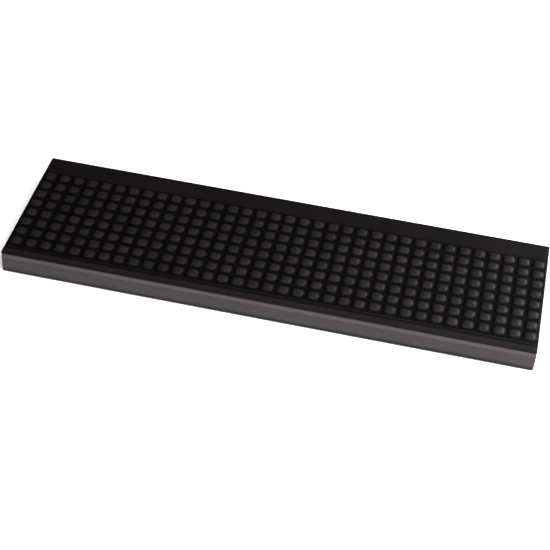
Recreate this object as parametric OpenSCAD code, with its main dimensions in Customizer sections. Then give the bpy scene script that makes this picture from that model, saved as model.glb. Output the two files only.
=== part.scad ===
// Seedling heat mat: a rigid heated slab for standing seed trays on.
// A studded rubber cover lies on an aluminium spreader plate. Under the plate a heating cable runs to and fro
// in a grooved foam board, inside a frame of four mitred channel rails that a base plate closes.
// Millimetres. +Z is up, the front edge is at -Y, and the origin is on the bench under the slab's middle.

/* [Overall] */
// Length of the slab
mat_l = 760; // [500:10:1300]
// Depth of the slab, front to back
mat_d = 226; // [180:1:420]
// Height of the slab's rim above the bench
rim_h = 37; // [33:0.5:60]
// Radius of the slab's four upright corners
corner_r = 2.5; // [2.5:0.5:6]

/* [Top cover] */
// Thickness of the rubber cover
cover_t = 3; // [2.5:0.25:5]
// Radius rolled along the cover's upper edge
cover_edge_r = 1.8; // [0.5:0.1:2.2]
// Distance from the middle of one stud to the next, both ways
pad_pitch = 21.6; // [19:0.1:30]
// Width of a stud
pad_w = 17; // [12:0.5:18]
// Height of a stud above the cover
pad_h = 2; // [1:0.25:4]
// How far a stud's corners are cut off, along its sides
pad_corner = 3; // [1:0.5:5]
// Radius of the small flat on top of each stud
pad_flat_r = 3; // [1:0.5:5]
// Radius of the sphere that domes each stud
pad_dome_r = 32; // [22:1:80]
// Smooth band between the back edge and the first row of studs
back_band = 36.5; // [34.5:0.5:60]
// Least smooth band between the last row of studs and the front edge
front_band = 19; // [18:0.5:40]
// Least smooth band at each end
end_band = 3.5; // [3:0.5:20]
// Distance of the rim groove from the front edge
groove_inset = 14; // [12:0.5:16]
// Width of the rim groove
groove_w = 2.2; // [1:0.1:3]
// Depth of the rim groove
groove_depth = 1.2; // [0.5:0.1:1.5]
// Width of the bead under the cover that presses into the rails
bead_w = 2.4; // [2:0.1:3]
// Depth of that bead
bead_h = 4.5; // [3:0.25:6]
// Distance of the bead's outer side from the slab's edge
bead_inset = 5; // [4:0.25:5.5]

/* [Frame] */
// Width of the rails, seen from above
rail_w = 16; // [15:0.5:24]
// Thickness of a rail's upright outer wall
web_t = 2.4; // [1.8:0.1:3.5]
// Thickness of a rail's flanges
flange_t = 2.4; // [2.2:0.1:3.5]
// Thickness of the walls round the bead slot
slot_wall = 1.6; // [1:0.1:2]
// Width of the ledge that the spreader plate rests on
ledge_w = 6; // [4:0.5:6]
// Height of the lip along the top of a rail's outer face
lip_h = 6; // [3:0.5:8]
// How far that lip leans in
lip_lean = 0.9; // [0.3:0.1:1.2]
// Size of the cut along the rails' upper outer edge
rail_edge = 1; // [0.4:0.1:1.5]
// Length of a corner plate's legs
corner_leg = 42; // [36:1:70]
// Thickness of a corner plate
corner_plate_t = 2; // [1.5:0.25:3]

/* [Base] */
// Thickness of the base plate
base_t = 3; // [1.5:0.25:4]
// How far the base plate stands in from the rails' outer faces
base_inset = 0.5; // [0.5:0.25:3]
// Thickness of the gasket between the base plate and the rails
gasket_t = 0.6; // [0.4:0.1:1.5]
// Radius of a rubber foot
foot_r = 9; // [6:0.5:14]
// Height of a rubber foot
foot_t = 2; // [1:0.25:5]
// Distance of the feet's middles from the slab's edges
foot_inset = 34; // [30:1:60]
// Greatest distance between feet
foot_step = 350; // [200:10:420]
// Distance of the base screws from the rails' outer faces
screw_inset = 9; // [8:0.25:10]
// Distance of the corner screws from the slab's corners
screw_end = 32; // [28:1:36]
// Greatest distance between base screws
screw_step = 125; // [60:5:200]
// Radius of the screws' shanks
screw_r = 1.5; // [1:0.1:2]
// Radius of the screws' heads
screw_head_r = 2.9; // [2.4:0.1:3.5]

/* [Heater] */
// Thickness of the spreader plate
spreader_t = 1; // [0.8:0.1:1.5]
// Diameter of the heating cable
cable_d = 5; // [4:0.25:6]
// Distance of the cable's turns from the end rails
turn_gap = 6; // [4:1:20]
// Distance between the feed line and the first run of the cable
feed_offset = 18; // [16:0.5:20]
// Radius of the cap on the cable's far end
seal_r = 3.4; // [3.2:0.1:4.5]
// Length of the joint between the heating cable and the wires
joint_l = 46; // [30:1:60]
// Radius of that joint
joint_r = 5.5; // [4.5:0.25:6]
// Thickness of the combs that hold the cable's runs
comb_t = 4; // [3:0.5:6]
// Height of the combs
comb_h = 13; // [10:0.5:15]

/* [Wiring bay] */
// Length of the bay
bay_l = 170; // [160:1:220]
// Radius of the opening for the mains lead
lead_r = 3.6; // [3:0.1:4]
// Radius of the grommet's flanges
grommet_r = 6.6; // [6:0.1:7]
// Distance between the terminal block's poles
pole_pitch = 6; // [5.5:0.25:6.5]
// Height of the terminal block
block_h = 14; // [12:0.5:15]
// Length of the terminal block
block_l = 18; // [16:1:24]
// Radius of the wires inside the bay
wire_r = 0.9; // [0.6:0.1:1.1]

/* [Hidden] */
$fn = 48;
eps = 0.01; // overlap of cutters past the faces that they cut
fit = 0.15; // gap round a piece that slides into its seat
hole_fit = 0.05; // gap round a screw or rivet in its hole
foam_gap = 0.4; // gap between the foam board and what is round it

// Heights of the layers
base_z = foot_t;
gasket_z = base_z + base_t;
rail_z = gasket_z + gasket_t;
rail_top = rim_h - cover_t;
rail_h = rail_top - rail_z;
flange_top = rail_z + flange_t;
spreader_z = rail_top - spreader_t;
slot_depth = bead_h + fit;
boss_h = slot_depth + slot_wall;
boss_w = bead_inset + bead_w + fit + slot_wall;

// Studs
pad_cols = floor((mat_l - 2 * end_band - pad_w) / pad_pitch) + 1;
pad_rows = floor((mat_d - back_band - front_band - pad_w) / pad_pitch) + 1;
pad_x0 = -(pad_cols - 1) * pad_pitch / 2;
row0_y = mat_d / 2 - back_band - pad_w / 2;
function row_y(i) = row0_y - i * pad_pitch;

// Room across the wiring bay for the terminal block, and for the cutout with its clip's feet
block_w = 3 * pole_pitch + 2;
cutout_w = 7;
clip_t = 0.8;
clip_foot = 5.5;
bay_side_gap = 1;
bay_need = max(block_w, cutout_w + 2 * (clip_t + clip_foot)) + 2 * bay_side_gap;
bay_wall = 4; // foam between the first run and the bay

// Heating cable: one run under each row of studs, or further forward if wide rails leave the bay less room
cable_r = cable_d / 2;
cable_clear = 0.2; // gap between the cable and the spreader plate, and in its groove
groove_r = cable_r + cable_clear;
run0_y = min(row0_y, mat_d / 2 - rail_w - bay_need - bay_wall - groove_r);
function run_y(i) = run0_y - i * pad_pitch;
cable_z = spreader_z - cable_clear - cable_r;
seal_l = turn_gap + cable_r + pad_pitch / 2 - 1.5; // the cap on the far end stops short of the end rail
turn_r = pad_pitch / 2;
feed_r = feed_offset / 2;
feed_y = run0_y + feed_offset;
run_x = mat_l / 2 - rail_w - turn_gap - cable_r - turn_r;
end_side = pad_rows % 2 == 0 ? 1 : -1; // the end of the slab at which the last run stops
foam_top = spreader_z - 0.1;
comb_x = run_x - 22; // the combs stand this far in from the ends of the runs
comb_clear = 0.2;
comb_past = 7; // how far a comb reaches past the outer runs

// Wiring bay, in the foam board behind the first run
bay_x1 = comb_x - 14; // foam between the right comb and the bay
bay_x0 = bay_x1 - bay_l;
bay_y0 = run0_y + groove_r + bay_wall;
bay_y1 = mat_d / 2 - rail_w;
bay_mid_y = (bay_y0 + bay_y1) / 2;
joint_x1 = bay_x1;
joint_x0 = joint_x1 - joint_l;
joint_z = cable_z + cable_r - joint_r;
seal_z = cable_z + cable_r - seal_r;
cord_x = bay_x0 + 24; // the lead comes in near the bay's left end
cord_z = (flange_top + rail_top - boss_h) / 2;
clamp_y = mat_d / 2 - web_t - 11; // leaves room for the grommet's inner flange
clamp_l = 22;
clamp_w = 8;
clamp_wall = 4.6; // height of a clamp half over the lead's middle
clamp_screw_x = 8;
clamp_head_r = 2;
head_sink = 2; // depth of the seats of the clamp screws' heads
grommet_flange_t = 1.2;
grommet_neck_r = 5.2;
foot_stem_r = 2.5;
block_x0 = cord_x + 17; // clear of the lead's clamp
barrel_z = gasket_z + 6; // height of the terminals' middle
barrel_r = 2.3;
barrel_bore_r = 1.3;
small_screw_r = 1.1; // shank of the terminal and clamp screws
terminal_head_r = 1.7;
fixing_tip_r = 0.55; // the block's fixing screws are cut down to this above the base plate
fixing_depth = 3;
cutout_l = 21;
cutout_t = 4;
cutout_x0 = block_x0 + block_l + 20; // room for the wires to bend
cutout_y = bay_mid_y;
clip_w = 9;
rivet_r = 1.5;
rivet_head_h = 0.6;
rivet_tail_h = 0.9;
tag_x = cutout_x0 + cutout_l + 4;
tag_y = bay_y0 + 4.5; // the tag's eye stays inside the bay
tag_t = 0.8;
tag_l = 10; // from the tag's hole to the end of its tail

// Screws along the rails
long_gaps = ceil((mat_l - 2 * screw_end) / screw_step);
short_gaps = ceil((mat_d - 2 * screw_end) / screw_step);
feet_gaps = ceil((mat_l - 2 * foot_inset) / foot_step);
foot_xs = [for (i = [0 : feet_gaps]) -mat_l / 2 + foot_inset + i * (mat_l - 2 * foot_inset) / feet_gaps];
corner_screws_at = [for (sx = [-1, 1], sy = [-1, 1], leg = [0, 1])
    [sx * (mat_l / 2 - (leg == 0 ? screw_end : screw_inset)),
     sy * (mat_d / 2 - (leg == 0 ? screw_inset : screw_end))]];
base_screws_at = [
    for (i = [1 : 1 : long_gaps - 1], s = [-1, 1])
        [-mat_l / 2 + screw_end + i * (mat_l - 2 * screw_end) / long_gaps, s * (mat_d / 2 - screw_inset)],
    for (i = [1 : 1 : short_gaps - 1], s = [-1, 1])
        [s * (mat_l / 2 - screw_inset), -mat_d / 2 + screw_end + i * (mat_d - 2 * screw_end) / short_gaps]];

// Colours
black_rubber = [0.09, 0.085, 0.085];
grey_pvc = [0.38, 0.36, 0.365];
black_plastic = [0.12, 0.12, 0.12];
white_foam = [0.86, 0.87, 0.85];
aluminium = [0.78, 0.79, 0.8];
steel = [0.65, 0.66, 0.68];
brass = [0.8, 0.65, 0.32];
red_silicone = [0.55, 0.13, 0.1];
cream_nylon = [0.88, 0.86, 0.78];

// ---------- Shared shapes ----------

// A rectangle with round corners, centred
module rounded_rect(l, d, r) {
    square([l - 2 * r, d], center = true);
    square([l, d - 2 * r], center = true);
    for (sx = [-1, 1], sy = [-1, 1])
        translate([sx * (l / 2 - r), sy * (d / 2 - r)]) circle(r);
}

// A rectangle on y = 0, centred on x, whose two upper corners are round
module rolled_section(w, h, r) {
    translate([-w / 2, 0]) square([w, h - r]);
    translate([-w / 2 + r, 0]) square([w - 2 * r, h]);
    for (s = [-1, 1]) translate([s * (w / 2 - r), h - r]) circle(r);
}

// A slab with round upright corners whose upper edge is rolled over, standing on z = 0
module rolled_slab(l, d, h, corner, edge) {
    roll = min(edge, h - 0.1);
    intersection() {
        rotate([90, 0, 90]) linear_extrude(l, center = true) rolled_section(d, h, roll);
        rotate([90, 0, 0]) linear_extrude(d, center = true) rolled_section(l, h, roll);
        linear_extrude(h) rounded_rect(l, d, corner);
    }
}

// A flat ring that follows the slab's outline, between two distances from its edge
module outline_ring(outer_inset, inner_inset, h) {
    linear_extrude(h) difference() {
        rounded_rect(mat_l - 2 * outer_inset, mat_d - 2 * outer_inset, max(corner_r - outer_inset, 0.5));
        square([mat_l - 2 * inner_inset, mat_d - 2 * inner_inset], center = true);
    }
}

// A countersunk screw whose head is flush with z = 0, with its shank going up
module countersunk_screw(length) {
    cylinder(r1 = screw_head_r, r2 = screw_r, h = screw_head_r - screw_r);
    cylinder(r = screw_r, h = length);
}

// The hole for that screw, gap all round
module countersunk_hole(length) {
    grown = screw_r + hole_fit;
    grown_head = screw_head_r + hole_fit;
    cylinder(r1 = grown_head, r2 = grown, h = grown_head - grown);
    translate([0, 0, -eps]) cylinder(r = grown, h = length + 2 * eps);
}

// The holes for the frame's screws through a piece that starts at that height
module frame_screw_holes(points, z, thick) {
    for (p = points)
        translate([p.x, p.y, z - eps]) cylinder(r = screw_r + hole_fit, h = thick + 2 * eps);
}

// A round wire through a list of points, with a slightly fatter ball at each bend
module wire(points, r) {
    for (i = [0 : len(points) - 2]) {
        way = points[i + 1] - points[i];
        long = norm(way);
        translate(points[i]) rotate([0, acos(way.z / long), atan2(way.y, way.x)]) {
            cylinder(r = r, h = long);
            if (i > 0) sphere(1.12 * r);
        }
    }
}

// ---------- Cover and spreader ----------

// One domed stud, its underside sunk into the cover
module pad() {
    sink = cover_t / 2;
    half = pad_w / 2;
    in = half - pad_corner;
    dome_z = pad_h - sqrt(pow(pad_dome_r, 2) - pow(pad_flat_r, 2));
    intersection() {
        translate([0, 0, -sink]) linear_extrude(pad_h + sink)
            polygon([
                [half, in], [in, half], [-in, half], [-half, in],
                [-half, -in], [-in, -half], [in, -half], [half, -in]]);
        translate([0, 0, dome_z]) sphere(pad_dome_r);
    }
}

module top_cover() {
    color(black_rubber) {
        difference() {
            translate([0, 0, rail_top]) rolled_slab(mat_l, mat_d, cover_t, corner_r, cover_edge_r);
            translate([-mat_l / 2 - 1, -mat_d / 2 + groove_inset, rim_h - groove_depth])
                cube([mat_l + 2, groove_w, groove_depth + 1]);
        }
        translate([0, 0, rail_top - bead_h])
            outline_ring(bead_inset, bead_inset + bead_w, bead_h + cover_t / 3);
        for (i = [0 : pad_cols - 1], j = [0 : pad_rows - 1])
            translate([pad_x0 + i * pad_pitch, row_y(j), rim_h]) pad();
    }
}

module heat_spreader() {
    inset = rail_w - ledge_w + fit;
    color(aluminium) difference() {
        translate([-mat_l / 2 + inset, -mat_d / 2 + inset, spreader_z])
            cube([mat_l - 2 * inset, mat_d - 2 * inset, spreader_t]);
        for (p = rivets_at) translate([p.x, p.y, spreader_z]) rivet_hole(spreader_t);
        translate([tag_x, tag_y, spreader_z]) rivet_hole(spreader_t);
    }
}

// ---------- Frame ----------

// Section of a rail: x is the distance in from its outer face, and y the height above its underside.
// A channel that is open inwards. Its upper flange holds the bead slot and the ledge for the spreader plate.
module rail_section() {
    slot0 = bead_inset - fit;
    slot1 = bead_inset + bead_w + fit;
    ledge = rail_w - ledge_w;
    h = rail_h;
    polygon([
        [0, 0], [0, h - lip_h], [lip_lean, h - rail_edge], [lip_lean + rail_edge, h],
        [slot0, h], [slot0, h - slot_depth], [slot1, h - slot_depth], [slot1, h],
        [ledge, h], [ledge, h - spreader_t], [rail_w, h - spreader_t], [rail_w, h - flange_t],
        [boss_w, h - flange_t], [boss_w, h - boss_h], [web_t, h - boss_h],
        [web_t, flange_t], [rail_w, flange_t], [rail_w, 0]]);
}

// A rail along the side at -Y of a slab of that length and depth, mitred at both ends
module rail(l, d) {
    intersection() {
        translate([0, -d / 2, rail_z])
            rotate([90, 0, 90]) linear_extrude(l, center = true) rail_section();
        translate([0, 0, rail_z]) linear_extrude(rail_h) polygon([
            [-l / 2, -d / 2], [l / 2, -d / 2],
            [l / 2 - rail_w, -d / 2 + rail_w], [-l / 2 + rail_w, -d / 2 + rail_w]]);
        translate([0, 0, rail_z]) linear_extrude(rail_h) rounded_rect(l, d, corner_r);
    }
}

module flange_holes() {
    frame_screw_holes(concat(corner_screws_at, base_screws_at), rail_z, flange_t);
}

module front_rail() {
    color(grey_pvc) difference() {
        rail(mat_l, mat_d);
        flange_holes();
    }
}

module back_rail() {
    color(grey_pvc) difference() {
        rotate(180) rail(mat_l, mat_d);
        flange_holes();
        translate([cord_x, mat_d / 2 + eps, cord_z]) rotate([90, 0, 0]) {
            cylinder(r = grommet_neck_r + fit, h = web_t + 2 * eps);
            cylinder(r = grommet_r + fit, h = grommet_flange_t + eps);
        }
    }
}

module end_rail(side) {
    color(grey_pvc) difference() {
        rotate(90 * side) rail(mat_d, mat_l);
        flange_holes();
    }
}

// A flat L that ties two rails together on their lower flanges
module corner_plate(sx, sy) {
    inner = web_t + fit;
    wide = rail_w - inner - 1;
    color(steel) difference() {
        for (leg = [0, 1])
            translate([sx * (mat_l / 2 - inner), sy * (mat_d / 2 - inner), flange_top])
                mirror([sx > 0 ? 1 : 0, 0, 0]) mirror([0, sy > 0 ? 1 : 0, 0])
                    cube(leg == 0 ? [corner_leg, wide, corner_plate_t] : [wide, corner_leg, corner_plate_t]);
        frame_screw_holes(corner_screws_at, flange_top, corner_plate_t);
    }
}

// ---------- Base ----------

module base_plate() {
    color(black_plastic) difference() {
        translate([0, 0, base_z]) linear_extrude(base_t)
            rounded_rect(mat_l - 2 * base_inset, mat_d - 2 * base_inset, corner_r - base_inset / 2);
        for (p = concat(corner_screws_at, base_screws_at))
            translate([p.x, p.y, base_z]) countersunk_hole(base_t);
        for (x = foot_xs, s = [-1, 1])
            translate([x, s * (mat_d / 2 - foot_inset), base_z - eps])
                cylinder(r = foot_stem_r + hole_fit, h = base_t + 2 * eps);
        for (s = [-1, 1])
            translate([block_x0 + block_l / 2, bay_mid_y + s * pole_pitch / 2, base_z])
                countersunk_hole(base_t);
    }
}

module base_gasket() {
    color(black_rubber) difference() {
        translate([0, 0, gasket_z]) outline_ring(base_inset + 0.5, rail_w, gasket_t);
        frame_screw_holes(concat(corner_screws_at, base_screws_at), gasket_z, gasket_t);
    }
}

module base_screws() {
    color(steel) for (p = base_screws_at)
        translate([p.x, p.y, base_z]) countersunk_screw(flange_top - base_z);
}

module corner_screws() {
    color(steel) for (p = corner_screws_at)
        translate([p.x, p.y, base_z]) countersunk_screw(flange_top + corner_plate_t - base_z);
}

module foot(x, y) {
    color(black_rubber) translate([x, y, 0]) {
        cylinder(r = foot_r, h = foot_t);
        cylinder(r = foot_stem_r, h = foot_t + base_t);
    }
}

// ---------- Heater ----------

// The end of the slab at which the cable turns into that run: 1 on the right and -1 on the left
function turn_side(j) = j % 2 == 1 ? -1 : 1;

// Half a ring of round cable at that end, from y to y + 2 * r
module cable_turn(side, y, r) {
    translate([side * run_x, y + r, cable_z]) rotate(-90 * side)
        rotate_extrude(angle = 180) translate([r, 0]) circle(cable_r);
}

module cable_run(x0, x1, y) {
    translate([x0, y, cable_z]) rotate([0, 90, 0]) cylinder(r = cable_r, h = x1 - x0);
}

module heating_cable() {
    color(red_silicone) {
        cable_run(joint_x1, run_x, feed_y);
        cable_turn(1, run0_y, feed_r);
        for (j = [0 : pad_rows - 1]) cable_run(-run_x, run_x, run_y(j));
        for (j = [1 : pad_rows - 1]) cable_turn(turn_side(j), run_y(j), turn_r);
    }
}

module cable_end_seal() {
    y = run_y(pad_rows - 1);
    color(black_rubber) translate([end_side * run_x, y, seal_z])
        rotate([0, 90 * end_side, 0]) {
            cylinder(r = seal_r, h = seal_l - seal_r);
            translate([0, 0, seal_l - seal_r]) cylinder(r1 = seal_r, r2 = seal_r / 2, h = seal_r);
        }
}

module cable_joint() {
    color(black_rubber) translate([joint_x0, feed_y, joint_z]) rotate([0, 90, 0])
        cylinder(r = joint_r, h = joint_l);
}

// The room that a cable's run or turn takes in the foam board, open at the top
module run_groove(x0, x1, y, r = groove_r) {
    translate([x0, y - r, cable_z - r]) cube([x1 - x0, 2 * r, foam_top]);
}

module turn_groove(side, y, r) {
    wide = groove_r + 0.4;
    translate([side * run_x, y + r, cable_z - wide]) rotate(-90 * side)
        rotate_extrude(angle = 180) translate([r - wide, 0]) square([2 * wide, foam_top]);
}

// A strip with a notch for each run of the cable
module cable_comb(side) {
    first_y = side > 0 ? feed_y : run0_y;
    y1 = first_y + comb_past;
    y0 = run_y(pad_rows - 1) - comb_past;
    ys = concat(side > 0 ? [feed_y] : [], [for (j = [0 : pad_rows - 1]) run_y(j)]);
    color(cream_nylon) difference() {
        translate([side * comb_x - comb_t / 2, y0, foam_top - comb_h]) cube([comb_t, y1 - y0, comb_h]);
        for (y = ys) {
            translate([side * comb_x, y, cable_z]) rotate([0, 90, 0])
                cylinder(r = cable_r + comb_clear, h = comb_t + 1, center = true);
            translate([side * comb_x - comb_t, y - cable_r - comb_clear, cable_z])
                cube([2 * comb_t, cable_d + 2 * comb_clear, comb_h]);
        }
    }
}

module comb_room(side) {
    first_y = side > 0 ? feed_y : run0_y;
    y1 = first_y + comb_past + foam_gap;
    y0 = run_y(pad_rows - 1) - comb_past - foam_gap;
    translate([side * comb_x - comb_t / 2 - foam_gap, y0, foam_top - comb_h - foam_gap])
        cube([comb_t + 2 * foam_gap, y1 - y0, comb_h + 1]);
}

// A box that stands in from the slab's outline by that much, between two heights
module inset_box(inset, z0, z1) {
    translate([-mat_l / 2 + inset, -mat_d / 2 + inset, z0])
        cube([mat_l - 2 * inset, mat_d - 2 * inset, z1 - z0]);
}

module insulation_board() {
    middle_z = flange_top + foam_gap;
    y_last = run_y(pad_rows - 1);
    seal_room_r = seal_r + foam_gap;
    seal_room_x = end_side > 0 ? run_x : -run_x - seal_l - 1;
    leg_room = corner_leg + web_t + 1;
    leg_room_h = middle_z + corner_plate_t - gasket_z;
    color(white_foam) difference() {
        union() {
            inset_box(rail_w + foam_gap, gasket_z + 0.1, foam_top);
            inset_box(web_t + foam_gap, middle_z, rail_top - boss_h - foam_gap);
        }
        for (j = [0 : pad_rows - 1]) run_groove(-run_x - eps, run_x + eps, run_y(j));
        for (j = [1 : pad_rows - 1]) turn_groove(turn_side(j), run_y(j), turn_r);
        run_groove(bay_x1 - eps, run_x + eps, feed_y);
        turn_groove(1, run0_y, feed_r);
        translate([seal_room_x, y_last - seal_room_r, seal_z - seal_room_r])
            cube([seal_l + 1, 2 * seal_room_r, foam_top]);
        for (side = [-1, 1]) comb_room(side);
        translate([bay_x0, bay_y0, gasket_z]) cube([bay_l, mat_d / 2 - bay_y0, rim_h]);
        for (sx = [-1, 1], sy = [-1, 1], leg = [0, 1])
            translate([sx * mat_l / 2, sy * mat_d / 2, gasket_z])
                mirror([sx > 0 ? 1 : 0, 0, 0]) mirror([0, sy > 0 ? 1 : 0, 0])
                    cube(leg == 0 ? [leg_room, rail_w, leg_room_h] : [rail_w, leg_room, leg_room_h]);
    }
}

// ---------- Thermal cutout and earthing ----------

rivet_out = cutout_w / 2 + clip_t + clip_foot / 2; // from the cutout's middle line to a rivet
rivets_at = [for (s = [-1, 1]) [cutout_x0 + cutout_l / 2, cutout_y + s * rivet_out]];

module rivet_hole(depth) {
    r = rivet_r + hole_fit;
    translate([0, 0, -eps]) cylinder(r = r, h = depth + 2 * eps);
    translate([0, 0, depth - rivet_head_h]) cylinder(r1 = r, r2 = r + rivet_head_h, h = rivet_head_h + eps);
}

// A rivet whose countersunk head is flush with z = depth, closed under z = -under
module rivet(depth, under) {
    translate([0, 0, -under]) cylinder(r = rivet_r, h = depth + under);
    translate([0, 0, depth - rivet_head_h])
        cylinder(r1 = rivet_r, r2 = rivet_r + rivet_head_h, h = rivet_head_h);
    translate([0, 0, -under - rivet_tail_h]) cylinder(r = rivet_r + 1, h = rivet_tail_h);
}

module thermal_cutout() {
    color(black_plastic) translate([cutout_x0, cutout_y - cutout_w / 2, spreader_z - cutout_t])
        cube([cutout_l, cutout_w, cutout_t]);
}

// A strap that holds the cutout up against the spreader plate
module cutout_clip() {
    drop = cutout_t + clip_t + fit;
    inner_w = cutout_w + 2 * fit;
    color(steel) translate([cutout_x0 + cutout_l / 2 - clip_w / 2, cutout_y, spreader_z]) difference() {
        union() {
            translate([0, -inner_w / 2 - clip_t, -drop]) cube([clip_w, inner_w + 2 * clip_t, drop]);
            translate([0, -cutout_w / 2 - clip_t - clip_foot, -clip_t])
                cube([clip_w, cutout_w + 2 * (clip_t + clip_foot), clip_t]);
        }
        translate([-1, -inner_w / 2, -drop + clip_t]) cube([clip_w + 2, inner_w, drop]);
        for (p = rivets_at) translate([clip_w / 2, p.y - cutout_y, -clip_t - eps])
            cylinder(r = rivet_r + hole_fit, h = clip_t + 2 * eps);
    }
}

module clip_rivets() {
    color(aluminium) for (p = rivets_at) translate([p.x, p.y, spreader_z]) rivet(spreader_t, clip_t);
}

module earth_tag() {
    color(brass) difference() {
        union() {
            translate([tag_x, tag_y, spreader_z - tag_t]) cylinder(r = 4, h = tag_t);
            translate([tag_x, tag_y - 1.6, spreader_z - tag_t]) cube([tag_l, 3.2, tag_t]);
        }
        translate([tag_x, tag_y, spreader_z - tag_t - eps])
            cylinder(r = rivet_r + hole_fit, h = tag_t + 2 * eps);
    }
}

module earth_rivet() {
    color(aluminium) translate([tag_x, tag_y, spreader_z]) rivet(spreader_t, tag_t);
}

// ---------- Terminal block and wires ----------

function pole_y(i) = bay_mid_y + (i - 1) * pole_pitch;
screw_xs = [block_x0 + 4, block_x0 + block_l - 4];

module terminal_block() {
    color(cream_nylon) difference() {
        translate([block_x0, bay_mid_y - block_w / 2, gasket_z]) cube([block_l, block_w, block_h]);
        for (i = [0 : 2]) {
            translate([block_x0 - eps, pole_y(i), barrel_z]) rotate([0, 90, 0])
                cylinder(r = barrel_r + hole_fit, h = block_l + 2 * eps);
            for (x = screw_xs) translate([x, pole_y(i), barrel_z])
                cylinder(r = terminal_head_r + 0.2, h = block_h);
        }
        for (s = [-1, 1])
            translate([block_x0 + block_l / 2, bay_mid_y + s * pole_pitch / 2, gasket_z - eps])
                cylinder(r = fixing_tip_r + hole_fit, h = fixing_depth + 1);
    }
}

module terminal_barrels() {
    color(brass) for (i = [0 : 2]) translate([block_x0, pole_y(i), barrel_z]) difference() {
        translate([1, 0, 0]) rotate([0, 90, 0]) cylinder(r = barrel_r, h = block_l - 2);
        rotate([0, 90, 0]) cylinder(r = barrel_bore_r, h = block_l);
        for (x = screw_xs) translate([x - block_x0, 0, 0])
            cylinder(r = small_screw_r + hole_fit, h = barrel_r + 1);
    }
}

module terminal_screws() {
    color(steel) for (i = [0 : 2], x = screw_xs) translate([x, pole_y(i), barrel_z]) difference() {
        union() {
            translate([0, 0, wire_r + 0.1]) cylinder(r = small_screw_r, h = 4);
            translate([0, 0, barrel_r + 0.3]) cylinder(r = terminal_head_r, h = 2.4);
        }
        translate([-2, -0.25, barrel_r + 1.9]) cube([4, 0.5, 2]);
    }
}

// Two small screws from under the base plate
module terminal_fixing_screws() {
    color(steel) for (s = [-1, 1])
        translate([block_x0 + block_l / 2, bay_mid_y + s * pole_pitch / 2, base_z]) {
            countersunk_screw(base_t);
            cylinder(r = fixing_tip_r, h = base_t + fixing_depth);
        }
}

block_x1 = block_x0 + block_l;
wire_x = block_x1 - 5; // where the wires stop inside the barrels
module live_wire_in() {
    y = pole_y(2);
    cut_z = spreader_z - cutout_t / 2;
    color("saddlebrown") wire([
        [wire_x, y, barrel_z], [block_x1 + 4, y, barrel_z], [block_x1 + 9, y - 1, barrel_z + 4],
        [cutout_x0 - 6, cutout_y + 2, cut_z - 3], [cutout_x0 - 3, cutout_y + 2, cut_z],
        [cutout_x0, cutout_y + 2, cut_z]], wire_r);
}

module live_wire_out() {
    gap = 0.3; // keeps the wire's tilted ends off the pieces that it joins
    color("saddlebrown") wire([
        [cutout_x0 + cutout_l + gap, cutout_y, spreader_z - cutout_t / 2],
        [joint_x0 - gap, feed_y + 2, joint_z + 2]], wire_r);
}

module neutral_wire() {
    y = pole_y(1);
    color("royalblue") wire([
        [wire_x, y, barrel_z], [block_x1 + 5, y, barrel_z], [cutout_x0 + 5, feed_y + 1, barrel_z + 5],
        [joint_x0 - 8, feed_y - 2, joint_z - 1], [joint_x0, feed_y - 2, joint_z - 1]], wire_r);
}

module earth_wire() {
    y = pole_y(0);
    color("forestgreen") wire([
        [wire_x, y, barrel_z], [block_x1 + 5, y, barrel_z], [cutout_x0 + 9, feed_y - 2.5, barrel_z],
        [joint_x0 - 8, feed_y + 1, joint_z - 3.2], [joint_x0, feed_y + 1, joint_z - 3.2]], wire_r);
}

// From the joint's screen to the tag on the spreader plate
module plate_earth_wire() {
    tag_end = tag_x + tag_l;
    tag_z = spreader_z - tag_t - wire_r;
    color("forestgreen") wire([
        [joint_x0, feed_y - 3.6, joint_z + 1], [joint_x0 - 4, feed_y - 3.6, joint_z + 1],
        [tag_end + 3, tag_y, tag_z], [tag_end, tag_y, tag_z]], wire_r);
}

// ---------- Lead entry ----------

module lead_grommet() {
    inner_t = 1.6;
    color(black_rubber) translate([cord_x, mat_d / 2, cord_z]) rotate([90, 0, 0]) difference() {
        union() {
            cylinder(r = grommet_r, h = grommet_flange_t);
            cylinder(r = grommet_neck_r, h = web_t);
            translate([0, 0, web_t]) cylinder(r = grommet_r, h = inner_t);
        }
        translate([0, 0, -1]) cylinder(r = lead_r, h = web_t + inner_t + 2);
    }
}

// Half of a clamp that grips the lead; side is 1 for the upper half and -1 for the lower one
module lead_clamp_half(side) {
    z0 = side > 0 ? cord_z + 0.5 : flange_top;
    z1 = side > 0 ? cord_z + clamp_wall : cord_z - 0.5;
    hole_r = small_screw_r + hole_fit;
    color(black_plastic) difference() {
        translate([cord_x - clamp_l / 2, clamp_y, z0]) cube([clamp_l, clamp_w, z1 - z0]);
        translate([cord_x, clamp_y - 1, cord_z]) rotate([-90, 0, 0])
            cylinder(r = lead_r - 0.2, h = clamp_w + 2);
        for (s = [-1, 1]) translate([cord_x + s * clamp_screw_x, clamp_y + clamp_w / 2, flange_top + 1]) {
            cylinder(r = hole_r, h = rail_h);
            if (side > 0) translate([0, 0, z1 - head_sink - flange_top - 1])
                cylinder(r = clamp_head_r + 0.2, h = head_sink + 1);
        }
    }
}

module lead_clamp_screws() {
    tip_z = flange_top + 1.2;
    head_z = cord_z + clamp_wall - head_sink - tip_z; // above the screw's tip
    color(steel) for (s = [-1, 1])
        translate([cord_x + s * clamp_screw_x, clamp_y + clamp_w / 2, tip_z]) {
            cylinder(r = small_screw_r, h = head_z + 1);
            translate([0, 0, head_z]) cylinder(r = clamp_head_r, h = head_sink - 0.2);
        }
}

// ---------- Nodes ----------

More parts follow.
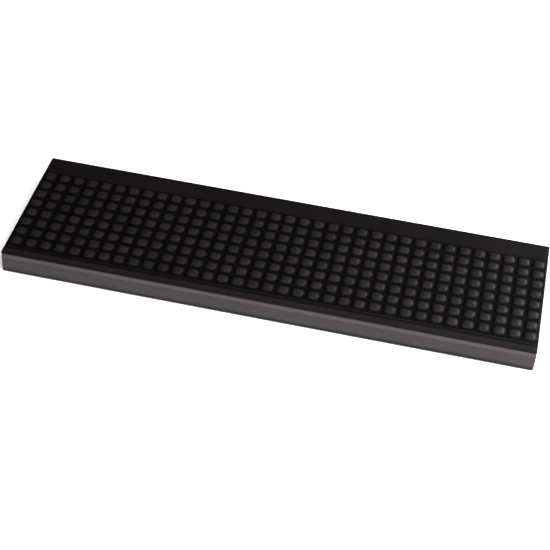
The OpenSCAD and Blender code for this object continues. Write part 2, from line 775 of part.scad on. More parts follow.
top_cover();
heat_spreader();
front_rail();
back_rail();
end_rail(-1);  // left_rail
end_rail(1);  // right_rail
corner_plate(-1, -1);  // corner_plate_front_left
corner_plate(1, -1);  // corner_plate_front_right
corner_plate(-1, 1);  // corner_plate_back_left
corner_plate(1, 1);  // corner_plate_back_right
base_plate();
base_gasket();
base_screws();
corner_screws();
foot(foot_xs[0], -mat_d / 2 + foot_inset);  // foot_front_left
foot(foot_xs[feet_gaps], -mat_d / 2 + foot_inset);  // foot_front_right
foot(foot_xs[0], mat_d / 2 - foot_inset);  // foot_back_left
foot(foot_xs[feet_gaps], mat_d / 2 - foot_inset);  // foot_back_right
for (i = [1 : feet_gaps - 1]) foot(foot_xs[i], -mat_d / 2 + foot_inset);  // foot_front_middle
for (i = [1 : feet_gaps - 1]) foot(foot_xs[i], mat_d / 2 - foot_inset);  // foot_back_middle
insulation_board();
heating_cable();
cable_end_seal();
cable_joint();
cable_comb(-1);  // cable_comb_left
cable_comb(1);  // cable_comb_right
thermal_cutout();
cutout_clip();
clip_rivets();
terminal_block();
terminal_barrels();
terminal_screws();
terminal_fixing_screws();
live_wire_in();
live_wire_out();
neutral_wire();
earth_wire();
plate_earth_wire();
earth_tag();
earth_rivet();
lead_grommet();
lead_clamp_half(-1);  // lead_clamp_lower
lead_clamp_half(1);  // lead_clamp_upper
lead_clamp_screws();
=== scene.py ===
"""A seedling heat mat: a slab with a studded rubber top, framed by mitred rails of grey extruded PVC.

Lengths are in metres, written as millimetres times MM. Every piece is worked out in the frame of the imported
model, so its object stays at the origin.
"""

import math

import bmesh
import bpy
import numpy as np
from mathutils import Matrix, Vector


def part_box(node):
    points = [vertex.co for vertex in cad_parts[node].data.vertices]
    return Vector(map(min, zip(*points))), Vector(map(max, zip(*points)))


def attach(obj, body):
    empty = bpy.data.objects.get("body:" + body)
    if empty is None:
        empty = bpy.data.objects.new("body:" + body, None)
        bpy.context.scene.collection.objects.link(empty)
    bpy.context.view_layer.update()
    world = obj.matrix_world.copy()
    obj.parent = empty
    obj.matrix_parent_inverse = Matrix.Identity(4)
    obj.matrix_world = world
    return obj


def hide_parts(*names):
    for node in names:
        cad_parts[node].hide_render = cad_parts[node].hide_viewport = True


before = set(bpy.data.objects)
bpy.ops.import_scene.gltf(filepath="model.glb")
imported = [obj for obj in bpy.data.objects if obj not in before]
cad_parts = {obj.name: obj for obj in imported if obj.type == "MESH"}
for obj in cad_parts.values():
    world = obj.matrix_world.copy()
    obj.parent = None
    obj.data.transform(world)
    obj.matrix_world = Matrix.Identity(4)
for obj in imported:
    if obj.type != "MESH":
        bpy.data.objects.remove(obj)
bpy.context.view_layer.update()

MM = 0.001
BODY = "root"
WELD, SLIVER = 2e-6, 1e-7  # points closer than the first are merged, edges shorter than the second collapsed

# ---------------------------------------------------------------- sizes

HALF_L, HALF_D, STUD_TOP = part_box("top_cover")[1]
RAIL_Z, RAIL_TOP = (corner[2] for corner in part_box("front_rail"))
BASE_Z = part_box("base_plate")[0][2]
CORNER_R = 2.5 * MM

# The cover, with its lattice of studs
COVER_T = 3 * MM
RIM_Z = RAIL_TOP + COVER_T
PITCH = 21.6 * MM
COLUMNS, ROWS = 35, 8
STUD_W = 17 * MM
STUD_H = STUD_TOP - RIM_Z
BACK_BAND = 36.5 * MM
ROW0_Y = HALF_D - BACK_BAND - STUD_W / 2
STUD_SHAPE = 5  # power of the rounded square
STUD_TURN = 22.5  # degrees between the points round a stud

# The smooth band in front of the studs
GROOVE_Y, GROOVE_W, GROOVE_DEPTH = -HALF_D + 15.1 * MM, 3 * MM, 1.3 * MM
BEAD_Y, BEAD_W, BEAD_H = -HALF_D + 7.6 * MM, 11 * MM, 0.6 * MM

# The rolled edge: how far it reaches in, and how far it falls
ROLL, ROLL_FALL = 2 * MM, 1.8 * MM
FOOT_EDGE = 0.3 * MM  # the cut along the cover's lower edge

# The rails' section
RAIL_W, RAIL_WALL, LEDGE_W, LEDGE_DEPTH = 16 * MM, 2.4 * MM, 10 * MM, 1 * MM
LIP_H, LIP_LEAN = 6.2 * MM, 0.9 * MM
RAIL_FOOT_R, RAIL_TOP_R = 0.8 * MM, 1.1 * MM
MITRE_GAP = 0.3 * MM

# Screws
SCREW_END, SCREW_INSET = 32 * MM, 9 * MM
SCREW_R, SCREW_HEAD_R, RECESS_DEPTH = 1.5 * MM, 2.9 * MM, 1.1 * MM
FIXING_TIP_R = 0.55 * MM


# ---------------------------------------------------------------- meshes

def grid_faces(rows, columns, start=0):
    """The quads of a grid of points, numbered row by row from start."""
    i = start + np.arange(rows * columns).reshape(rows, columns)
    return np.stack([i[:-1, :-1], i[1:, :-1], i[1:, 1:], i[:-1, 1:]], -1).reshape(-1, 4)


def piece(name, patches, material, nodes, caps=(), sharp=35):
    """One closed piece, out of patches, each a grid of points (m, n, 3), and caps, each a loop (n, 3).

    Points that coincide are merged, so a collapsed row becomes a pole. The faces are then turned outwards.
    """
    points, faces, start = [], [], 0
    for patch in patches:
        m, n = patch.shape[:2]
        points.append(patch.reshape(-1, 3))
        faces += grid_faces(m, n, start).tolist()
        start += m * n
    for loop in caps:
        points.append(loop)
        faces.append(list(range(start, start + len(loop))))
        start += len(loop)
    mesh = bpy.data.meshes.new(name)
    mesh.from_pydata(np.concatenate(points).tolist(), [], faces)
    shape = bmesh.new()
    shape.from_mesh(mesh)
    bmesh.ops.remove_doubles(shape, verts=shape.verts, dist=WELD)
    bmesh.ops.dissolve_degenerate(shape, dist=SLIVER, edges=shape.edges)
    bmesh.ops.recalc_face_normals(shape, faces=shape.faces)
    shape.to_mesh(mesh)
    shape.free()
    mesh.materials.append(material)
    mesh.shade_smooth()
    mesh.set_sharp_from_angle(angle=math.radians(sharp))
    made = bpy.data.objects.new(name, mesh)
    bpy.context.collection.objects.link(made)
    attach(made, BODY)
    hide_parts(*nodes)
    return made


def smooth_step(t):
    """0 below t = 0, 1 above t = 1, and 3t^2 - 2t^3 between."""
    t = np.clip(t, 0, 1)
    return t * t * (3 - 2 * t)


def corner_arc(sx, sy, start, end, inset, count=7):
    """Part of the slab's round corner in quadrant (sx, sy), drawn that far inside the slab's outline.

    Its radius is the corner's less the inset. Once that is used up, every point is the sharp inner corner.
    """
    r = max(CORNER_R - inset, 0)
    turn = np.radians(np.linspace(start, end, count))
    x = sx * (HALF_L - inset - r) + r * np.cos(turn)
    y = sy * (HALF_D - inset - r) + r * np.sin(turn)
    return np.stack([x, y], -1)


# ---------------------------------------------------------------- cover

def stud_field():
    """Every stud with its share of the flat between studs, as one array of polar grids.

    A point at fraction s of the way out and at angle a lies at s * R(a). R(a) is the radius of a rounded
    square, half its width over (|cos a|^5 + |sin a|^5)^(1/5). Its height is H * (1 - s^2.4)^0.8, a low dome
    that is steep at its foot. One more ring lies on the edge of the stud's own square of the lattice.
    """
    s = np.array([0, 0.55, 0.85, 1.0])
    a = np.radians(np.arange(0, 361, STUD_TURN))
    c, n = np.cos(a), np.sin(a)
    rim = STUD_W / 2 / (abs(c) ** STUD_SHAPE + abs(n) ** STUD_SHAPE) ** (1 / STUD_SHAPE)
    cell = PITCH / 2 / np.maximum(abs(c), abs(n))
    reach = np.concatenate([s[:, None] * rim, cell[None]])
    height = STUD_H * (1 - s ** 2.4) ** 0.8
    height = np.append(height, 0)
    x = (np.arange(COLUMNS) - (COLUMNS - 1) / 2) * PITCH
    y = ROW0_Y - np.arange(ROWS) * PITCH
    field = np.zeros((COLUMNS, ROWS, len(height), len(a), 3))
    field[..., 0] = x[:, None, None, None] + reach * c
    field[..., 1] = y[None, :, None, None] + reach * n
    field[..., 2] = RIM_Z + height[:, None]
    return field.reshape(-1, len(height), len(a), 3)


def lattice_lines(middles):
    """Where the outermost rings of the studs have their points, along one direction."""
    between = math.tan(math.radians(STUD_TURN))
    steps = np.array([-1, -between, 0, between]) * PITCH / 2
    lines = (middles[:, None] + steps).ravel()
    return np.append(lines, middles[-1] + PITCH / 2)


def cover_height(y):
    """Height of the smooth bands: flat, with a groove and, in front of it, a low bead.

    Across each of the two, the height is (1 + cos(pi t)) / 2, with t from 0 in its middle to 1 at its edge.
    The groove's is raised to the power 0.7, which widens its floor.
    """
    groove = np.clip(abs(y - GROOVE_Y) / (GROOVE_W / 2), 0, 1)
    bead = np.clip(abs(y - BEAD_Y) / (BEAD_W / 2), 0, 1)
    return (RIM_Z - GROOVE_DEPTH * (0.5 + 0.5 * np.cos(np.pi * groove)) ** 0.7
            + BEAD_H * (0.5 + 0.5 * np.cos(np.pi * bead)))


def studded_cover(material):
    """The studs' lattice, the smooth band behind it, the grooved band in front, and the rolled edge.

    The edge starts on the inner rectangle and goes round the slab's outline. At angle t of its roll it is
    sin t of the way out and has fallen by (1 - cos t) of its whole fall. It ends in a straight wall with a
    small cut below.
    """
    x_lines = lattice_lines((np.arange(COLUMNS) - (COLUMNS - 1) / 2) * PITCH)
    y_lines = lattice_lines(np.sort(ROW0_Y - np.arange(ROWS) * PITCH))
    inner_x, inner_y = HALF_L - ROLL, HALF_D - ROLL
    x_lines[0], x_lines[-1] = -inner_x, inner_x
    groove = GROOVE_Y + GROOVE_W / 2 * np.linspace(-1, 1, 9)
    bead = BEAD_Y + BEAD_W / 2 * np.linspace(-1, 1, 9)
    front = np.concatenate([[-inner_y], bead, groove, [y_lines[0]]])
    back = np.array([y_lines[-1], y_lines[-1] + 10 * MM, inner_y - 8 * MM, inner_y])
    bands = []
    for lines in (front, back):
        y, x = np.meshgrid(lines, x_lines, indexing="ij")
        bands.append(np.stack([x, y, cover_height(y)], -1))

    # Anticlockwise round the slab from the front left: the inner rectangle's points and their partners
    sides = np.concatenate([front, y_lines[1:-1], back])
    inner, outer = [], []
    end_x, end_y = HALF_L - CORNER_R, HALF_D - CORNER_R
    for sx, sy, start in ((-1, -1, 180), (1, -1, 270), (1, 1, 0), (-1, 1, 90)):
        arc = corner_arc(sx, sy, start, start + 90, 0)
        if sx * sy > 0:
            run = x_lines[1:-1] if sy < 0 else x_lines[-2:0:-1]
            run_in = np.stack([run, np.full_like(run, sy * inner_y)], -1)
            run_out = np.stack([np.clip(run, -end_x, end_x), np.full_like(run, sy * HALF_D)], -1)
        else:
            run = sides[1:-1] if sx > 0 else sides[-2:0:-1]
            run_in = np.stack([np.full_like(run, sx * inner_x), run], -1)
            run_out = np.stack([np.full_like(run, sx * HALF_L), np.clip(run, -end_y, end_y)], -1)
        inner += [np.tile([sx * inner_x, sy * inner_y], (len(arc), 1)), run_in]
        outer += [arc, run_out]
    inner, outer = (np.concatenate(parts + [parts[0][:1]]) for parts in (inner, outer))
    top = cover_height(inner[:, 1])
    rows = []
    for turn in np.radians(np.linspace(0, 90, 6)):
        xy = inner + (outer - inner) * math.sin(turn)
        rows.append(np.concatenate([xy, (top - ROLL_FALL * (1 - math.cos(turn)))[:, None]], 1))
    for z, scale in ((RAIL_TOP + FOOT_EDGE, 1), (RAIL_TOP, 1 - FOOT_EDGE / HALF_D)):
        rows.append(np.concatenate([outer * scale, np.full((len(outer), 1), z)], 1))
    edge = np.stack(rows)
    return piece("studded_cover", [*stud_field(), *bands, edge], material, ["top_cover"],
                 caps=[edge[-1, :-1]], sharp=50)


# ---------------------------------------------------------------- rails

def rail_section():
    """The rail's section as a closed loop of (distance in from the outer face, height).

    It goes up from the foot of the face: a quarter circle, the flat face, a lip that leans in along half a
    cosine wave, a quarter circle into the top flange, and back down round the inside of the channel.
    """
    foot = np.radians(np.linspace(90, 0, 4))
    bottom = np.stack([RAIL_FOOT_R * (1 - np.cos(foot)), RAIL_Z + RAIL_FOOT_R * (1 - np.sin(foot))], -1)
    lip_z, lip_top = RAIL_TOP - LIP_H, RAIL_TOP - RAIL_TOP_R
    t = np.linspace(0, 1, 6)
    lip = np.stack([LIP_LEAN * (0.5 - 0.5 * np.cos(np.pi * t)), lip_z + (lip_top - lip_z) * t], -1)
    turn = np.radians(np.linspace(0, 90, 5))[1:]
    crown = np.stack([LIP_LEAN + RAIL_TOP_R * (1 - np.cos(turn)), lip_top + RAIL_TOP_R * np.sin(turn)], -1)
    ledge_z, roof_z, floor_z = RAIL_TOP - LEDGE_DEPTH, RAIL_TOP - RAIL_WALL, RAIL_Z + RAIL_WALL
    inside = np.array([
        [LEDGE_W, RAIL_TOP], [LEDGE_W, ledge_z], [RAIL_W, ledge_z], [RAIL_W, roof_z],
        [RAIL_WALL, roof_z], [RAIL_WALL, floor_z], [RAIL_W, floor_z], [RAIL_W, RAIL_Z]])
    return np.concatenate([bottom, lip, crown, inside])


def rail(name, side, material):
    """A rail: its section carried along one side of the slab, to the middle of the corner at each end.

    A hairline gap is left at each mitre. Each rail gives half of it, as an angle at the corner's centre.
    """
    hairline = math.degrees(MITRE_GAP / 2 / CORNER_R)
    start, first, last = {
        "front": (225, (-1, -1), (1, -1)), "right": (315, (1, -1), (1, 1)),
        "back": (45, (1, 1), (-1, 1)), "left": (135, (-1, 1), (-1, -1))}[side]
    strips = []
    for inset, z in rail_section():
        a = corner_arc(*first, start + hairline, start + 45, inset)
        b = corner_arc(*last, start + 45, start + 90 - hairline, inset)
        path = np.concatenate([a, np.linspace(a[-1], b[0], 9)[1:-1], b])
        strips.append(np.concatenate([path, np.full((len(path), 1), z)], 1))
    bar = np.stack(strips + [strips[0]])
    ends = [bar[:-1, 0], bar[:-1, -1]]
    return piece(name + "_bar", [bar], material, [name], caps=ends, sharp=30)


# ---------------------------------------------------------------- small pieces

def turned(profile, centre, axis="z", count=48):
    """A profile of (radius, height) turned about an axis through centre."""
    a = np.linspace(0, 2 * np.pi, count + 1)
    r, h = np.array(profile).T
    rings = [r[:, None] * np.cos(a), r[:, None] * np.sin(a), np.repeat(h[:, None], len(a), 1)]
    if axis == "y":
        rings = [rings[0], rings[2], -rings[1]]
    return np.stack(rings, -1) + np.array(centre)


def foot(name, material):
    """A rubber foot: a disc with a quarter-circle rim, hollowed in the middle, so it stands on a ring."""
    low, high = (np.array(c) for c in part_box(name))
    centre = (low + high) / 2
    r = (high[0] - low[0]) / 2
    hollow, rim_r, top_edge = 0.6 * MM, 0.8 * MM, 0.2 * MM
    dish = [(0, hollow), (0.35 * r, hollow), (0.52 * r, 0.5 * MM), (0.62 * r, 0.15 * MM), (0.68 * r, 0)]
    arc = np.radians(np.linspace(0, 90, 6))
    rim = [(r - rim_r + rim_r * math.sin(t), rim_r * (1 - math.cos(t))) for t in arc]
    rest = [(r, BASE_Z - top_edge), (r - top_edge, BASE_Z), (0, BASE_Z)]
    disc = turned(dish + rim + rest, (centre[0], centre[1], 0))
    return piece(name + "_pad", [disc], material, [name])


def grommet(material):
    """The lead's grommet: a closed profile of (radius, depth from the rail's outer face), turned.

    Both mouths of the bore are quarter circles, and a shallow ring is pressed into the outer flange.
    """
    low, high = (np.array(c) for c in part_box("lead_grommet"))
    centre = (low + high) / 2
    flange, depth = (high[0] - low[0]) / 2, high[1] - low[1]
    bore, neck, seat = 3.6 * MM, 5.2 * MM, 1.2 * MM
    mouth, edge = 0.7 * MM, 0.35 * MM
    ring_outer, ring_inner, ring_slope, ring_depth = 5.7 * MM, 4.75 * MM, 0.25 * MM, 0.2 * MM
    turn = np.radians(np.linspace(0, 90, 5))
    outer_mouth = [(bore + mouth * (1 - math.sin(t)), mouth * (1 - math.cos(t))) for t in turn]
    inner_mouth = [(bore + mouth * (1 - math.cos(t)), depth - mouth * (1 - math.sin(t))) for t in turn]
    inner_flange = [
        (flange - edge, depth), (flange, depth - edge),
        (flange, RAIL_WALL + edge), (flange - edge, RAIL_WALL)]
    outer_flange = [(neck, RAIL_WALL), (neck, seat), (flange, seat)]
    outer_flange += [(flange - edge * (1 - math.cos(t)), edge * (1 - math.sin(t))) for t in turn]
    ring = [
        (ring_outer, 0), (ring_outer - ring_slope, ring_depth), (ring_inner + ring_slope, ring_depth),
        (ring_inner, 0), (bore + mouth, 0)]
    profile = [(r, -d) for r, d in outer_mouth + inner_mouth + inner_flange + outer_flange + ring]
    rubber = turned(profile, (centre[0], high[1], centre[2]), axis="y")
    return piece("lead_grommet_ring", [rubber], material, ["lead_grommet"], sharp=40)


def cross_screws(name, places, tip, material):
    """Countersunk screws with a cross recess, heads down, at each (x, y) of places.

    The head's face is a polar grid. Its recess is as deep as the deeper of two crossing slots, each a
    smooth step across its width and along its length. The cone and the shank follow as a turned profile.
    """
    low, high = (np.array(c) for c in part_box(name))
    edge, step, end_cut = 0.12 * MM, 0.01 * MM, 0.3 * MM
    half_slot, slot_side, slot_reach, slot_end = 0.62 * MM, 0.3 * MM, 1.9 * MM, 0.7 * MM
    r = SCREW_HEAD_R * np.linspace(0, 1, 19)
    a = np.linspace(0, 2 * np.pi, 49)
    x, y = r[:, None] * np.cos(a), r[:, None] * np.sin(a)

    def slot(along, across):
        sides = smooth_step((half_slot - abs(across)) / slot_side)
        ends = smooth_step((slot_reach - abs(along)) / slot_end)
        return sides * ends

    recess = RECESS_DEPTH * np.maximum(slot(x, y), slot(y, x))
    face = np.stack([x, y, low[2] + recess], -1)
    face[-1, :, 2] += edge
    cone_z = low[2] + SCREW_HEAD_R - SCREW_R
    profile = [
        (SCREW_HEAD_R, low[2] + edge), (SCREW_R, cone_z), (tip, cone_z + step),
        (tip, high[2] - end_cut), (0.6 * tip, high[2]), (0, high[2])]
    parts = []
    for px, py in places:
        parts += [face + np.array([px, py, 0]), turned(profile, (px, py, 0))]
    return piece(name + "_turned", parts, material, [name], sharp=40)


def rail_screw_places():
    """(x, y) of the screws through the corner plates, and of those between them."""
    end_x, end_y = HALF_L - SCREW_END, HALF_D - SCREW_END
    side_x, side_y = HALF_L - SCREW_INSET, HALF_D - SCREW_INSET
    pairs = (end_x, side_y), (side_x, end_y)
    corners = [(sx * x, sy * y) for sx in (-1, 1) for sy in (-1, 1) for x, y in pairs]
    along = [(x, s * side_y) for x in np.linspace(-end_x, end_x, 7)[1:-1] for s in (-1, 1)]
    across = [(s * side_x, 0) for s in (-1, 1)]
    return corners, along + across


# ---------------------------------------------------------------- materials

def linear(hex_colour):
    """An sRGB hex value such as '1c1b1a' as linear red, green, blue and an alpha of 1."""
    s = np.array([int(hex_colour[i:i + 2], 16) for i in (0, 2, 4)]) / 255
    return (*np.where(s <= 0.04045, s / 12.92, ((s + 0.055) / 1.055) ** 2.4), 1.0)


def add(tree, kind, links=(), **settings):
    """A node of that kind with its settings. Each link is an input and the value or output that feeds it.

    Inputs that share a name are given by number: 2 and 3 for a mix of values, 6 and 7 for a mix of colours.
    """
    made = tree.nodes.new(kind)
    for key, value in settings.items():
        setattr(made, key, value)
    for key, value in links:
        socket = made.inputs[key]
        if isinstance(value, bpy.types.NodeSocket):
            tree.links.new(value, socket)
        else:
            socket.default_value = value
    return made


def surface(name, **sockets):
    """A new material, its tree, its shader with these constants on its sockets, and object coordinates."""
    material = bpy.data.materials.new(name)
    material.use_nodes = True
    tree = material.node_tree
    shader = tree.nodes["Principled BSDF"]
    for key, value in sockets.items():
        shader.inputs[key.replace("_", " ")].default_value = value
    where = add(tree, "ShaderNodeTexCoord").outputs["Object"]
    return material, tree, shader, where


def texture(tree, shader, pattern, rough, relief=0.0, strength=0.5, reach=(0.0, 1.0)):
    """Roughness between two values as the pattern crosses its reach, and relief of a given height."""
    gloss = add(tree, "ShaderNodeMapRange", [
        ("Value", pattern), ("From Min", reach[0]), ("From Max", reach[1]),
        ("To Min", rough[0]), ("To Max", rough[1])])
    tree.links.new(gloss.outputs["Result"], shader.inputs["Roughness"])
    if relief:
        bump = add(tree, "ShaderNodeBump", [
            ("Height", pattern), ("Strength", strength), ("Distance", relief)])
        tree.links.new(bump.outputs["Normal"], shader.inputs["Normal"])


def moulded_rubber(name, light, dark, roughness, grain=1.6 * MM):
    """Rubber from a mould: the mould's fine sparked grain, and a faint unevenness of dust 60 mm across."""
    material, tree, shader, where = surface(name, IOR=1.5)
    cloud = add(tree, "ShaderNodeTexNoise", [("Vector", where), ("Scale", 1 / (60 * MM)), ("Detail", 4.0)])
    tone = add(tree, "ShaderNodeValToRGB", [("Fac", cloud.outputs["Fac"])])
    low, high = tone.color_ramp.elements
    low.position, high.position = 0.35, 0.7
    low.color, high.color = linear(dark), linear(light)
    tree.links.new(tone.outputs["Color"], shader.inputs["Base Color"])
    sparks = add(tree, "ShaderNodeTexNoise", [("Vector", where), ("Scale", 1 / grain), ("Detail", 3.0)])
    rough = roughness - 0.06, roughness + 0.08
    texture(tree, shader, sparks.outputs["Fac"], rough, relief=0.06 * MM, reach=(0.3, 0.7))
    return material


def studded_rubber(name, crown, valley, roughness, grain=1.6 * MM):
    """Black rubber from a mould, its studs' crowns painted lighter and its valleys painted black as shade.

    The painted light follows the height above the cover, broken up by a cloud a few studs wide. The bead in
    front and the smooth band behind are painted lighter too; the groove and the front edge are painted shade.
    What gets less painted light is darker and reflects less, so the reflection is painted too.
    """
    material, tree, shader, where = surface(name, IOR=1.5)
    place = add(tree, "ShaderNodeSeparateXYZ", [("Vector", where)])
    # Painted light by height: the crowns painted lighter, the valleys between the studs painted dark as shade
    rise = add(tree, "ShaderNodeMapRange", [
        ("Value", place.outputs["Z"]), ("From Min", RIM_Z + 0.1 * MM), ("From Max", RIM_Z + 0.9 * STUD_H)],
        interpolation_type="SMOOTHSTEP")
    across = add(tree, "ShaderNodeMapRange", [
        ("Value", place.outputs["Y"]), ("From Min", -HALF_D), ("From Max", HALF_D)])
    bands = add(tree, "ShaderNodeValToRGB", [("Fac", across.outputs["Result"])])
    ramp, depth = bands.color_ramp, 2 * HALF_D / MM
    # How much painted light the bands get, at each distance in millimetres behind the front edge; the
    # groove and the outermost millimetres of the front edge get little, as painted shade
    painted_band_light = [(1, 0.15), (3.5, 0.75), (10, 0.75), (12.6, 0.0), (depth - 36, 0.0), (depth - 33, 0.4)]
    while len(ramp.elements) < len(painted_band_light):
        ramp.elements.new(0.5)
    for element, (distance, painted_light) in zip(ramp.elements, painted_band_light):
        element.position, element.color = distance / depth, (painted_light, painted_light, painted_light, 1)
    most = add(tree, "ShaderNodeMath", [(0, rise.outputs["Result"]), (1, bands.outputs["Color"])],
               operation="MAXIMUM")
    cloud = add(tree, "ShaderNodeTexNoise", [("Vector", where), ("Scale", 1 / (50 * MM)), ("Detail", 4.0)])
    unevenness = add(tree, "ShaderNodeMapRange", [
        ("Value", cloud.outputs["Fac"]), ("From Min", 0.3), ("From Max", 0.7),
        ("To Min", 0.6), ("To Max", 1.0)])
    # The painted light, broken up by the cloud: it mixes the valley colour, painted shade, with the crown
    # colour
    painted_light = add(tree, "ShaderNodeMath", [(0, most.outputs["Value"]), (1, unevenness.outputs["Result"])],
               operation="MULTIPLY").outputs["Value"]
    tone = add(tree, "ShaderNodeMix", [("Factor", painted_light), (6, linear(valley)), (7, linear(crown))],
               data_type="RGBA")
    tree.links.new(tone.outputs[2], shader.inputs["Base Color"])
    # Painted shade on the reflection too: the valleys and the groove reflect less
    shine = add(tree, "ShaderNodeMapRange", [("Value", painted_light), ("To Min", 0.1), ("To Max", 0.36)])
    tree.links.new(shine.outputs["Result"], shader.inputs["Specular IOR Level"])
    sparks = add(tree, "ShaderNodeTexNoise", [("Vector", where), ("Scale", 1 / grain), ("Detail", 3.0)])
    rough = roughness - 0.06, roughness + 0.08
    texture(tree, shader, sparks.outputs["Fac"], rough, relief=0.05 * MM, reach=(0.3, 0.7))
    return material


def extruded_pvc(name, light, dark, painted_light, shade_colour, axis):
    """Rigid PVC from an extruder: satin, with faint lines 1.4 mm apart drawn along its length by the die.

    The lip at the top is painted paler as a highlight, and the lowest few millimetres are painted
    darker as shade.
    A cloud 45 mm wide makes the borders of both ragged.
    """
    material, tree, shader, where = surface(name, IOR=1.53, Specular_IOR_Level=0.22)
    long, short = 1 / (300 * MM), 1 / (1.4 * MM)
    scale = (long, short, short) if axis == "x" else (short, long, short)
    drawn = add(tree, "ShaderNodeMapping", [("Vector", where), ("Scale", scale)]).outputs["Vector"]
    lines = add(tree, "ShaderNodeTexNoise", [
        ("Vector", drawn), ("Scale", 1.0), ("Detail", 4.0)]).outputs["Fac"]
    cloud = add(tree, "ShaderNodeTexNoise", [
        ("Vector", where), ("Scale", 1 / (45 * MM)), ("Detail", 3.0)]).outputs["Fac"]
    both = add(tree, "ShaderNodeMix", [("Factor", 0.45), (2, lines), (3, cloud)])
    tone = add(tree, "ShaderNodeValToRGB", [("Fac", both.outputs[0])])
    low, high = tone.color_ramp.elements
    low.position, high.position = 0.35, 0.65
    low.color, high.color = linear(dark), linear(light)
    height = add(tree, "ShaderNodeSeparateXYZ", [("Vector", where)]).outputs["Z"]
    ragged = add(tree, "ShaderNodeMath", [(0, cloud), (1, 4 * MM), (2, height)],
                 operation="MULTIPLY_ADD").outputs["Value"]
    # Painted highlight: the lip at the top is painted paler where the light catches it
    lip = add(tree, "ShaderNodeMapRange", [
        ("Value", ragged), ("From Min", RAIL_TOP - 6 * MM), ("From Max", RAIL_TOP - 3 * MM)],
        interpolation_type="SMOOTHSTEP")
    # Painted shade: the lowest few millimetres are painted darker
    foot_shade = add(tree, "ShaderNodeMapRange", [
        ("Value", ragged), ("From Min", RAIL_Z + 9 * MM), ("From Max", RAIL_Z + 1.5 * MM)],
        interpolation_type="SMOOTHSTEP")
    lip_lit = add(tree, "ShaderNodeMix", [
        ("Factor", lip.outputs["Result"]), (6, tone.outputs["Color"]), (7, linear(painted_light))], data_type="RGBA")
    shaded = add(tree, "ShaderNodeMix", [
        ("Factor", foot_shade.outputs["Result"]), (6, lip_lit.outputs[2]), (7, linear(shade_colour))], data_type="RGBA")
    tree.links.new(shaded.outputs[2], shader.inputs["Base Color"])
    texture(tree, shader, lines, (0.4, 0.52), relief=0.05 * MM, strength=0.4, reach=(0.3, 0.7))
    return material


def grained_plastic(name, light, dark, roughness=0.5, grain=1.2 * MM, relief=0.05 * MM):
    """Sheet or moulded plastic with an even grain of small cells, like fine leather."""
    material, tree, shader, where = surface(name, IOR=1.5, Specular_IOR_Level=0.25)
    cells = add(tree, "ShaderNodeTexVoronoi", [("Vector", where), ("Scale", 1 / grain)]).outputs["Distance"]
    tone = add(tree, "ShaderNodeMix", [("Factor", cells), (6, linear(dark)), (7, linear(light))],
               data_type="RGBA")
    tree.links.new(tone.outputs[2], shader.inputs["Base Color"])
    texture(tree, shader, cells, (roughness - 0.05, roughness + 0.08), relief=relief)
    return material


def drawn_metal(name, light, dark, roughness):
    """Sheet or wire metal, with faint streaks 0.8 mm wide along X from rolling or drawing."""
    material, tree, shader, where = surface(name, Metallic=1.0)
    scale = 1 / (40 * MM), 1 / (0.8 * MM), 1 / (0.8 * MM)
    drawn = add(tree, "ShaderNodeMapping", [("Vector", where), ("Scale", scale)]).outputs["Vector"]
    lines = add(tree, "ShaderNodeTexNoise", [
        ("Vector", drawn), ("Scale", 1.0), ("Detail", 3.0)]).outputs["Fac"]
    tone = add(tree, "ShaderNodeMix", [("Factor", lines), (6, linear(dark)), (7, linear(light))],
               data_type="RGBA")
    tree.links.new(tone.outputs[2], shader.inputs["Base Color"])
    texture(tree, shader, lines, (roughness - 0.08, roughness + 0.1))
    return material


# Outside: soft black rubber, and a satin grey that is warmer than the rubber
# The rubber's first colour is painted light on the crowns, its second painted shade in the valleys
cover_rubber = studded_rubber("moulded_epdm_rubber", "1b1416", "030202", roughness=0.5)
foot_rubber = moulded_rubber("foot_rubber", "26252a", "1c1b1e", roughness=0.6, grain=0.9 * MM)
# The third grey is the painted highlight on the rails' lip, the fourth the painted shade along their foot
greys = "383134", "312a2d", "4a4245", "110e0f"
rail_pvc = {axis: extruded_pvc("extruded_grey_pvc_along_" + axis, *greys, axis) for axis in "xy"}
base_sheet = grained_plastic("black_base_sheet", "141415", "0c0c0c")

# Metal: zinc is a cool grey, mill-finish aluminium paler, brass a warm yellow
zinc = drawn_metal("zinc_plated_steel", "c9cbcd", "a3a6aa", roughness=0.35)
aluminium = drawn_metal("mill_finish_aluminium", "d8dadb", "bfc2c4", roughness=0.3)
brass = drawn_metal("turned_brass", "d8b56a", "b8934a", roughness=0.28)

# Inside: a dull sponge gasket, white foam with large cells, a red silicone cable and glossier wires
sponge = moulded_rubber("gasket_sponge", "2b2b2b", "1e1e1e", roughness=0.8)
silicone = moulded_rubber("red_silicone_sheath", "8f2a20", "7a1f18", roughness=0.4)
sleeve = moulded_rubber("shrunk_sleeve", "232323", "191919", roughness=0.35)
foam = grained_plastic(
    "closed_cell_foam", "e4e5e0", "cfd1ca", roughness=0.85, grain=2.5 * MM, relief=0.3 * MM)
nylon = grained_plastic("moulded_cream_nylon", "e2dcc6", "cfc7ad")
black_nylon = grained_plastic("black_moulded_nylon", "222222", "161616")
brown = grained_plastic("brown_wire_pvc", "6a3f25", "55301b", roughness=0.35)
blue = grained_plastic("blue_wire_pvc", "2c5fb0", "234f96", roughness=0.35)
green = grained_plastic("green_wire_pvc", "4c9a3a", "c8c83a", roughness=0.35)

# ---------------------------------------------------------------- the object

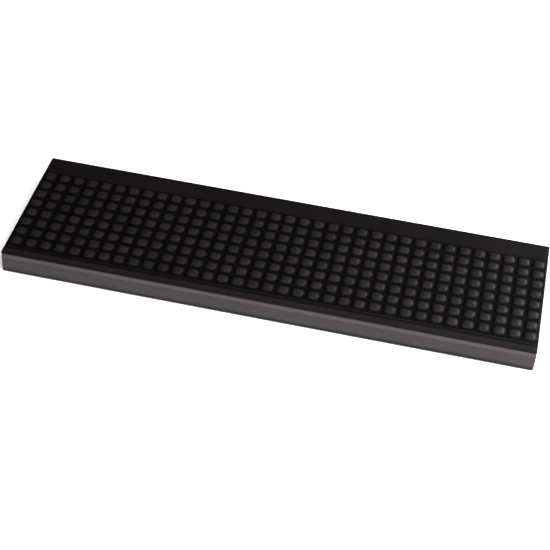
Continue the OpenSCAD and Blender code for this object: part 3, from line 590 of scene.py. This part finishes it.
studded_cover(cover_rubber)
for side in ("front", "back", "left", "right"):
    rail(side + "_rail", side, rail_pvc["x" if side in ("front", "back") else "y"])
for end in ("front", "back"):
    for place in ("left", "middle", "right"):
        foot(f"foot_{end}_{place}", foot_rubber)
grommet(foot_rubber)
corner_places, base_places = rail_screw_places()
cross_screws("corner_screws", corner_places, SCREW_R, zinc)
cross_screws("base_screws", base_places, SCREW_R, zinc)
low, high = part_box("terminal_fixing_screws")
block_x = (low[0] + high[0]) / 2
block_places = [(block_x, low[1] + SCREW_HEAD_R), (block_x, high[1] - SCREW_HEAD_R)]
cross_screws("terminal_fixing_screws", block_places, FIXING_TIP_R, zinc)

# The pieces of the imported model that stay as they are, by material
CARRIED = [
    (base_sheet, ["base_plate"]),
    (sponge, ["base_gasket"]),
    (aluminium, ["heat_spreader", "clip_rivets", "earth_rivet"]),
    (foam, ["insulation_board"]),
    (silicone, ["heating_cable"]),
    (sleeve, ["cable_end_seal", "cable_joint"]),
    (nylon, ["cable_comb_left", "cable_comb_right", "terminal_block"]),
    (black_nylon, ["thermal_cutout", "lead_clamp_lower", "lead_clamp_upper"]),
    (brass, ["terminal_barrels", "earth_tag"]),
    (brown, ["live_wire_in", "live_wire_out"]),
    (blue, ["neutral_wire"]),
    (green, ["earth_wire", "plate_earth_wire"]),
    (zinc, ["cutout_clip", "terminal_screws", "lead_clamp_screws", "corner_plate_front_left",
            "corner_plate_front_right", "corner_plate_back_left", "corner_plate_back_right"]),
]
for material, names in CARRIED:
    for name in names:
        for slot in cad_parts[name].material_slots:
            slot.material = material

# ---------------------------------------------------------------- floor, lights and camera

def area_light(name, place, aim, size, power):
    """A square soft light at place, turned towards aim."""
    lamp = bpy.data.lights.new(name, "AREA")
    lamp.size, lamp.energy = size, power
    made = bpy.data.objects.new(name, lamp)
    made.location = place
    made.rotation_euler = (Vector(aim) - Vector(place)).to_track_quat("-Z", "Y").to_euler()
    bpy.context.collection.objects.link(made)


# A sheet of white paper that glows slightly, so that the slab leaves no dark shadow on it
paper, *_ = surface("white_paper_floor", Base_Color=linear("fcfcfc"), Roughness=0.9,
                    Emission_Color=(1, 1, 1, 1), Emission_Strength=0.32)
FLOOR = 8.0
corners = [(-FLOOR, -FLOOR, 0), (FLOOR, -FLOOR, 0), (FLOOR, FLOOR, 0), (-FLOOR, FLOOR, 0)]
floor_mesh = bpy.data.meshes.new("floor")
floor_mesh.from_pydata(corners, [], [(0, 1, 2, 3)])
floor_mesh.materials.append(paper)
floor = bpy.data.objects.new("floor", floor_mesh)
bpy.context.collection.objects.link(floor)

area_light("key", (1.6, -0.9, 1.3), (0.25, 0, 0), 1.0, 32)
area_light("overhead", (0.9, -1.4, 3.0), (0.1, 0.1, 0), 2.2, 130)
area_light("sheen", (1.9, 1.5, 1.3), (0.35, 0, 0), 1.0, 60)
world = bpy.data.worlds.new("studio")
world.use_nodes = True
sky = world.node_tree.nodes["Background"]
sky.inputs["Color"].default_value = (1, 1, 1, 1)
sky.inputs["Strength"].default_value = 0.02
bpy.context.scene.world = world
bpy.context.scene.view_settings.view_transform = "Standard"

# The camera's bearing, height and tilt in degrees, its distance from the cover's middle, and how far to the
# right of that point and above it the middle of its view lies, in metres
BEARING, ELEVATION, TILT = 9.6, 42.27, 4.03
DISTANCE, ASIDE, ABOVE = 2.084, -0.0071, -0.0373
bearing, elevation, tilt = (math.radians(v) for v in (BEARING, ELEVATION, TILT))
level = Vector((math.cos(bearing), math.sin(bearing), 0))
back = Vector((
    math.sin(bearing) * math.cos(elevation), -math.cos(bearing) * math.cos(elevation), math.sin(elevation)))
up = back.cross(level)
right = math.cos(tilt) * level + math.sin(tilt) * up
upward = -math.sin(tilt) * level + math.cos(tilt) * up
spot = Vector((0, 0, RIM_Z)) + back * DISTANCE + right * ASIDE + upward * ABOVE
lens = bpy.data.cameras.new("camera")
lens.lens, lens.sensor_width = 94.95, 36.0
lens.clip_end = 50.0
camera = bpy.data.objects.new("camera", lens)
bpy.context.collection.objects.link(camera)
camera.matrix_world = Matrix.Translation(spot) @ Matrix((right, upward, back)).transposed().to_4x4()
bpy.context.scene.camera = camera
